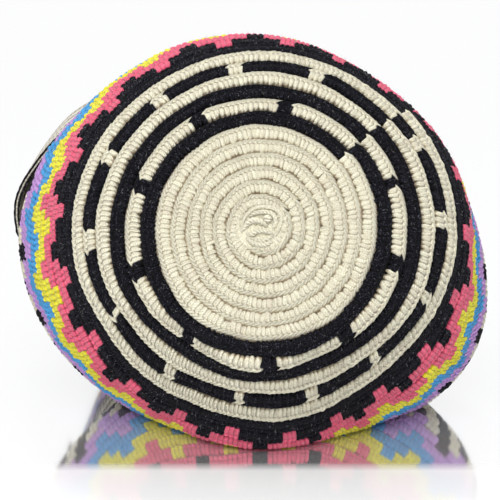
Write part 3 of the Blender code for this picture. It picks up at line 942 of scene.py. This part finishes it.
def neck_outline(grid):
    """The outline of the neck that the strap rests on, as points and outward directions by angle."""
    along = np.arange(0.4 * ROUNDS, ROUNDS + 0.3, 0.1) * ROUND_PITCH
    around = np.radians(np.arange(0.0, 360.0, 3.0))
    reach = BODY_WALL / 2.0 + ROUND_RELIEF
    s, turn = (part.ravel() for part in np.meshgrid(along, around, indexing="ij"))
    cloud = sample(grid, s, turn, grid[2]) + reach * sample(grid, s, turn, grid[3])
    near = (cloud[:, 1] > STRAP_FRONT - EDGE_CARE) & (cloud[:, 1] < STRAP_FRONT + STRAP_WIDTH + EDGE_CARE)
    cloud = cloud[near]
    center_x = 0.5 * (cloud[:, 0].min() + cloud[:, 0].max())
    center_z = 0.5 * (cloud[:, 2].min() + cloud[:, 2].max())
    offset = cloud[:, [0, 2]] - (center_x, center_z)
    facing = np.radians(np.arange(0.0, 360.0, 1.0))
    direction = np.stack([np.cos(facing), np.sin(facing)], axis=1)
    support = (offset @ direction.T).max(axis=0)
    padded = np.concatenate([support[-12:], support, support[:12]])
    kernel = np.hanning(9)
    support = np.convolve(padded, kernel / kernel.sum(), mode="same")[12:-12]
    support = np.maximum(support, (offset @ direction.T).max(axis=0))
    slope = (np.roll(support, -1) - np.roll(support, 1)) / (2.0 * math.radians(1.0))
    tangent = np.stack([-np.sin(facing), np.cos(facing)], axis=1)
    outline = direction * support[:, None] + tangent * slope[:, None]
    return outline + (center_x, center_z), direction


def neck_track(outline):
    """The neck's outline between the strap's two sewn ends, 1 mm apart, its directions and where it folds."""
    points, direction = outline
    degrees = np.arange(SEWN_LEFT, SEWN_RIGHT - 0.5, -0.5)
    low = np.floor(degrees).astype(int)
    part = (degrees - low)[:, None]
    path = points[low % 360] * (1 - part) + points[(low + 1) % 360] * part
    facing = direction[low % 360] * (1 - part) + direction[(low + 1) % 360] * part
    run = run_along(path)
    at = np.arange(0.0, run[-1], 0.001)
    track = resampled(path, run, at)
    facing = unit(resampled(facing, run, at))
    turned = SEWN_LEFT - degrees
    folds = [int(round(np.interp(SEWN_LEFT - fold, turned, run) * 1000)) for fold in STRAP_FOLDS]
    return track, facing, folds


def taut(height):
    """A smooth line that a band follows over a stack of this height, nowhere lower than it."""
    count = int(TAUT_SPAN / 0.001)
    kernel = np.hanning(count + 2)[1:-1]
    kernel /= kernel.sum()
    smooth = height
    for _ in range(3):
        padded = np.pad(smooth, count, mode="edge")
        smooth = np.maximum(np.convolve(padded, kernel, mode="same")[count:-count], height)
    padded = np.pad(smooth, 2 * TAUT_ROUND, mode="edge")
    shifts = range(-TAUT_ROUND, TAUT_ROUND + 1)
    widened = np.max([np.roll(padded, shift) for shift in shifts], axis=0)
    kernel = np.hanning(2 * TAUT_ROUND + 3)[1:-1]
    kernel /= kernel.sum()
    return np.convolve(widened, kernel, mode="same")[2 * TAUT_ROUND : -2 * TAUT_ROUND]


def strap_path(outline):
    """The centre line of the folded strap in the XZ plane, from its sewn left end to its sewn right end."""
    track, facing, folds = neck_track(outline)
    index = np.arange(len(track))
    stack = np.zeros(len(track))
    bulge = 2.0 * BIGHT_RADIUS - STRAP_THICK - STRAP_LAYER_GAP
    stops = [0, *folds, len(track) - 1]
    faces = np.degrees(np.arctan2(facing[:, 1], facing[:, 0])) % 360.0
    bulb = int(BIGHT_RADIUS * 1000) + 2
    path = []
    before = None
    for layer, (start, end) in enumerate(zip(stops[:-1], stops[1:])):
        gap = STRAP_LAYER_GAP if layer else GAP
        height = taut(stack) + gap + STRAP_THICK / 2.0
        if layer == 0:
            height = height + STRAP_SLACK * ease(1.0 - np.abs(faces - SLACK_FACING) / SLACK_SPREAD)
        if layer:
            height = height + bulge * (1.0 - ease(np.abs(index - start) * 0.001 / BIGHT_TAPER))
            middle = track[start] + facing[start] * 0.5 * (before[start] + height[start])
            arm = track[start] + facing[start] * before[start] - middle
            turn = 1.0 if start > stops[layer - 1] else -1.0
            for part in np.linspace(0.0, math.pi, 18)[1:-1]:
                cosine = math.cos(part)
                sine = math.sin(part) * turn
                path.append(middle + (cosine * arm[0] - sine * arm[1], sine * arm[0] + cosine * arm[1]))
        step = 1 if end > start else -1
        for i in range(start, end + step, step):
            path.append(track[i] + facing[i] * height[i])
        low = max(min(start, end) - (bulb if min(start, end) > 0 else 0), 0)
        high = max(start, end) + (bulb if max(start, end) < len(track) - 1 else 0)
        covered = (index >= low) & (index <= high)
        reach = np.clip(index, min(start, end), max(start, end))
        stack = np.where(covered, height[reach] + STRAP_THICK / 2.0, stack)
        before = height
    return np.array(path)


def strap_material():
    """Cream woven cotton with dark lines and dashes along it, and painted shade between its threads and
    cords.
    """
    settings = {"Roughness": 0.9, "Specular IOR Level": 0.15, "Sheen Weight": 0.25, "Sheen Roughness": 0.5}
    material, tree, shader = new_material("woven_band", settings)
    parts = add_node(tree, "SeparateXYZ", {0: uv_node(tree)})
    # Each cord of the band leans its threads the other way from its neighbour.
    cord = math_node(tree, "PINGPONG", parts.outputs["X"], STRAP_CORD * 1000.0)
    slanted = math_node(tree, "ADD", math_node(tree, "MULTIPLY", cord, 0.9), parts.outputs["Y"])
    thread = ramp(tree, math_node(tree, "PINGPONG", slanted, 0.9), 0.05, 0.75)
    dashes = ramp(tree, math_node(tree, "PINGPONG", slanted, 1.6), 0.25, 0.75)
    fibres = noise(tree, place_node(tree), 2400.0, 3.0)
    base = mix_color(tree, field_node(tree, "tone"), srgb(226, 219, 200), srgb(248, 244, 230))
    # Painted shade: darker in the grooves between the threads.
    base = laid_over(tree, base, srgb(120, 108, 88), thread, -0.35)
    dark = math_node(tree, "MULTIPLY", field_node(tree, "stripe"), dashes)
    base = mix_color(tree, dark, base, srgb(34, 32, 38))
    # Painted shade: darker flecks where the fibres dip.
    base = laid_over(tree, base, srgb(150, 138, 118), ramp(tree, fibres, 0.52, 0.36), 0.25)
    # Painted shade: darker between the cords, where the depth field is low.
    base = laid_over(tree, base, srgb(70, 62, 54), ramp(tree, field_node(tree, "depth"), -0.1, 0.6), -1.0)
    finish_cotton(tree, shader, base, thread, fibres, 0.4, 0.8)
    return material


def strap_ring():
    """The strap's cross-section: each point's place across and up, its height on its cord, and the cord."""
    face = []
    for cord in range(STRAP_CORDS):
        face += [((cord + part) * STRAP_CORD, lift, cord) for part, lift in CORD_FACE]
    face.append((STRAP_WIDTH, 0.0, STRAP_CORDS - 1))
    middle = STRAP_WIDTH / 2.0
    core = STRAP_THICK / 2.0 - CORD_RELIEF
    upper = []
    for across, lift, cord in face:
        near_edge = ease(min(across, STRAP_WIDTH - across) / STRAP_EDGE_WIDTH)
        upper.append((across - middle, core * (0.55 + 0.45 * near_edge) + CORD_RELIEF * lift, lift, cord))
    lower = [(across, -height, lift, cord) for across, height, lift, cord in reversed(upper)]
    right = [(middle + STRAP_EDGE_BULGE, 0.0, 0.7, STRAP_CORDS - 1)]
    left = [(-middle - STRAP_EDGE_BULGE, 0.0, 0.7, 0)]
    return np.array(upper + right + lower + left)


def close_ends(mesh, count):
    """Closes both ends of a mesh tube that has count points around."""
    made = bmesh.new()
    made.from_mesh(mesh)
    made.verts.ensure_lookup_table()
    total = len(made.verts)
    made.faces.new([made.verts[i] for i in range(count)])
    made.faces.new([made.verts[total - 1 - i] for i in range(count)])
    bmesh.ops.recalc_face_normals(made, faces=made.faces)
    made.to_mesh(mesh)
    made.free()


def make_strap(grid):
    """The folded band, and the dark threads on its front edge."""
    path = strap_path(neck_outline(grid))
    run = run_along(path)
    length = float(run[-1])
    stations = int(length / STRAP_STATION)
    at = np.linspace(0.0, length, stations)
    path = resampled(path, run, at)
    tangent = unit(np.gradient(path, axis=0))
    normal = np.stack([-tangent[:, 1], tangent[:, 0]], axis=1)
    strap_sway = 0.0012 * np.sin(at / 0.11) + 0.0008 * np.sin(at / 0.043 + 1.0)
    ring = strap_ring()
    across, up, lift, cord = ring.T
    points = np.empty((stations, len(ring), 3))
    points[:, :, 0] = path[:, 0, None] + normal[:, 0, None] * up
    points[:, :, 1] = STRAP_FRONT + STRAP_WIDTH / 2.0 + across + strap_sway[:, None]
    points[:, :, 2] = path[:, 1, None] + normal[:, 1, None] * up
    points += ROW_SHIFT
    shape = points.shape[:2]
    uv = uv_of((across + STRAP_WIDTH / 2.0) * 1000.0, at[:, None] * 1000.0)
    dark = np.isin(cord, STRAP_DARK_CORDS) & (lift > 0.3)
    # A dark thread runs along each corner of the band's two edges.
    dark |= np.abs(np.abs(across) - STRAP_WIDTH / 2.0) < 0.0001
    # The depth field, each point's height on its cord, sets the painted shade between the cords.
    fields = {
        "tone": np.clip(0.5 + 0.2 * random.standard_normal(shape), 0.0, 1.0),
        "depth": np.broadcast_to(lift, shape),
        "stripe": np.broadcast_to(dark.astype(float), shape),
    }
    quads = grid_quads(stations, len(ring), closed=True)
    obj = new_piece("woven_strap", "shoulder_strap", points, quads, (strap_material(),), None, uv, fields)
    close_ends(obj.data, len(ring))
    beads = EDGE_THREAD_RADIUS + EDGE_THREAD_BEADS * np.sin(math.tau * at / EDGE_THREAD_PITCH)
    threads = []
    for offset in EDGE_THREADS:
        line = np.empty((stations, 3))
        line[:, [0, 2]] = path + normal * offset
        line[:, 1] = STRAP_FRONT - 0.0003 + strap_sway
        threads.append(tube(line + ROW_SHIFT, beads, 6))
    tubes_piece("strap_edge_threads", "shoulder_strap", threads, black_yarn)


def stray_fibres(grid):
    """Fine hairs that stand off the yarn of the base and the first rounds of the wall."""
    tubes = []
    steps = np.linspace(0.0, 1.0, FIBRE_STEPS)
    for _ in range(FIBRES):
        along = (random.choice(FIBRE_ROUNDS) + random.uniform(-0.6, 0.9)) * ROUND_PITCH
        turn = math.radians(random.uniform(0.0, 360.0))
        length = random.uniform(0.0007, 0.0023)
        heading = random.uniform(0.0, math.tau)
        bend = heading + random.uniform(-1.2, 1.2) * steps
        lift = random.uniform(0.0002, 0.0014)
        ahead = np.cumsum(np.cos(bend)) * length / FIBRE_STEPS
        aside = np.cumsum(np.sin(bend)) * length / FIBRE_STEPS
        height = FIBRE_HEIGHT + lift * np.sin(steps * math.pi)
        path = place(grid, along + aside, turn + ahead / along, height)
        tubes.append(tube(path, FIBRE_RADIUS * (1.0 - 0.5 * steps), 3))
    material, tree, shader = new_material("stray_fibre", {"Roughness": 0.6, "Sheen Weight": 0.4})
    tint = mix_color(tree, noise(tree, place_node(tree), 90.0), srgb(120, 120, 128), srgb(205, 202, 200))
    feed(tree, shader.inputs["Base Color"], tint)
    tubes_piece("stray_fibres", "bag_body", tubes, material)


def make_camera():
    """A camera that sees the middle of the base at the photograph's place, size and angle."""
    pitch = math.radians(CAMERA_PITCH)
    across = (BASE_CENTER_PX[0] - IMAGE_PX / 2.0) / CAMERA_FOCAL_PX
    above = (IMAGE_PX / 2.0 - BASE_CENTER_PX[1]) / CAMERA_FOCAL_PX
    ahead = math.cos(pitch) + above * math.sin(pitch)
    ray = unit(np.array([across, ahead, above * math.cos(pitch) - math.sin(pitch)]))
    data = bpy.data.cameras.new("camera")
    data.sensor_width = SENSOR_WIDTH
    data.lens = CAMERA_FOCAL_PX / IMAGE_PX * SENSOR_WIDTH
    data.clip_start = 0.01
    camera = add_object("camera", data)
    camera.location = np.array([0.0, 0.0, BASE_HEIGHT]) - ray * CAMERA_DISTANCE + ROW_SHIFT
    camera.rotation_euler = (math.radians(90.0) - pitch, 0.0, 0.0)
    bpy.context.scene.camera = camera


def add_lamp(name, kind, location, target, power):
    """Adds a lamp that shines from location to target, and gives its data."""
    data = bpy.data.lights.new(name, kind)
    data.energy = power
    lamp = add_object(name, data)
    lamp.location = location
    lamp.rotation_euler = (Vector(location) - Vector(target)).to_track_quat("Z", "Y").to_euler()
    return data


def make_floor():
    """The pale floor, which mirrors more behind the plate's edge than in front of it."""
    mesh = bpy.data.meshes.new("floor")
    corners = [(x * FLOOR_SIZE, y * FLOOR_SIZE, 0.0) for x, y in ((-1, -1), (1, -1), (1, 1), (-1, 1))]
    mesh.from_pydata(corners, [], [(0, 1, 2, 3)])
    floor = add_object("floor", mesh)
    settings = {"Base Color": (0.975, 0.98, 0.99), "Roughness": 0.09, "Specular IOR Level": 0.3}
    material, tree, shader = new_material("pale_gloss", settings)
    split = add_node(tree, "SeparateXYZ", {0: place_node(tree)})
    step = {
        "From Min": PLATE_EDGE - PLATE_EDGE_SOFT,
        "From Max": PLATE_EDGE + PLATE_EDGE_SOFT,
        "To Min": FLOOR_GLOSS,
        "To Max": PLATE_GLOSS,
    }
    feed(tree, shader.inputs["Metallic"], map_range(tree, split.outputs["Y"], step))
    mesh.materials.append(material)


def make_light():
    """A white world, which lights the surfaces less than it shows, a wide lamp and a weak sun."""
    world = bpy.data.worlds.new("studio")
    world.use_nodes = True
    tree = world.node_tree
    background = tree.nodes["Background"]
    feed(tree, background.inputs["Color"], (1.0, 1.0, 1.0))
    path = add_node(tree, "LightPath", {})
    seen = math_node(tree, "MAXIMUM", path.outputs["Is Camera Ray"], path.outputs["Is Glossy Ray"])
    feed(tree, background.inputs["Strength"], map_range(tree, seen, {"To Min": WORLD_LIGHT, "To Max": 1.0}))
    bpy.context.scene.world = world
    front = add_lamp("front", "AREA", FRONT_LAMP, LAMP_TARGET, FRONT_LAMP_POWER)
    front.shape = "DISK"
    front.size = FRONT_LAMP_SIZE
    sun = add_lamp("sun", "SUN", SUN_FROM, (0.0, 0.0, 0.0), SUN_LIGHT)
    sun.angle = math.radians(SUN_SPREAD)
    bpy.context.scene.view_settings.view_transform = "Standard"


def main():
    """Makes the bag, its camera, floor and light."""
    grid = settled_grid()
    make_camera()
    make_strap(grid)
    for name, first, last, rows, columns in STITCH_PIECES:
        stitch_piece(grid, name, first, last, rows, columns)
    lining(grid)
    rim_edge(grid)
    start_knot(grid)
    stray_fibres(grid)
    make_floor()
    make_light()


main()
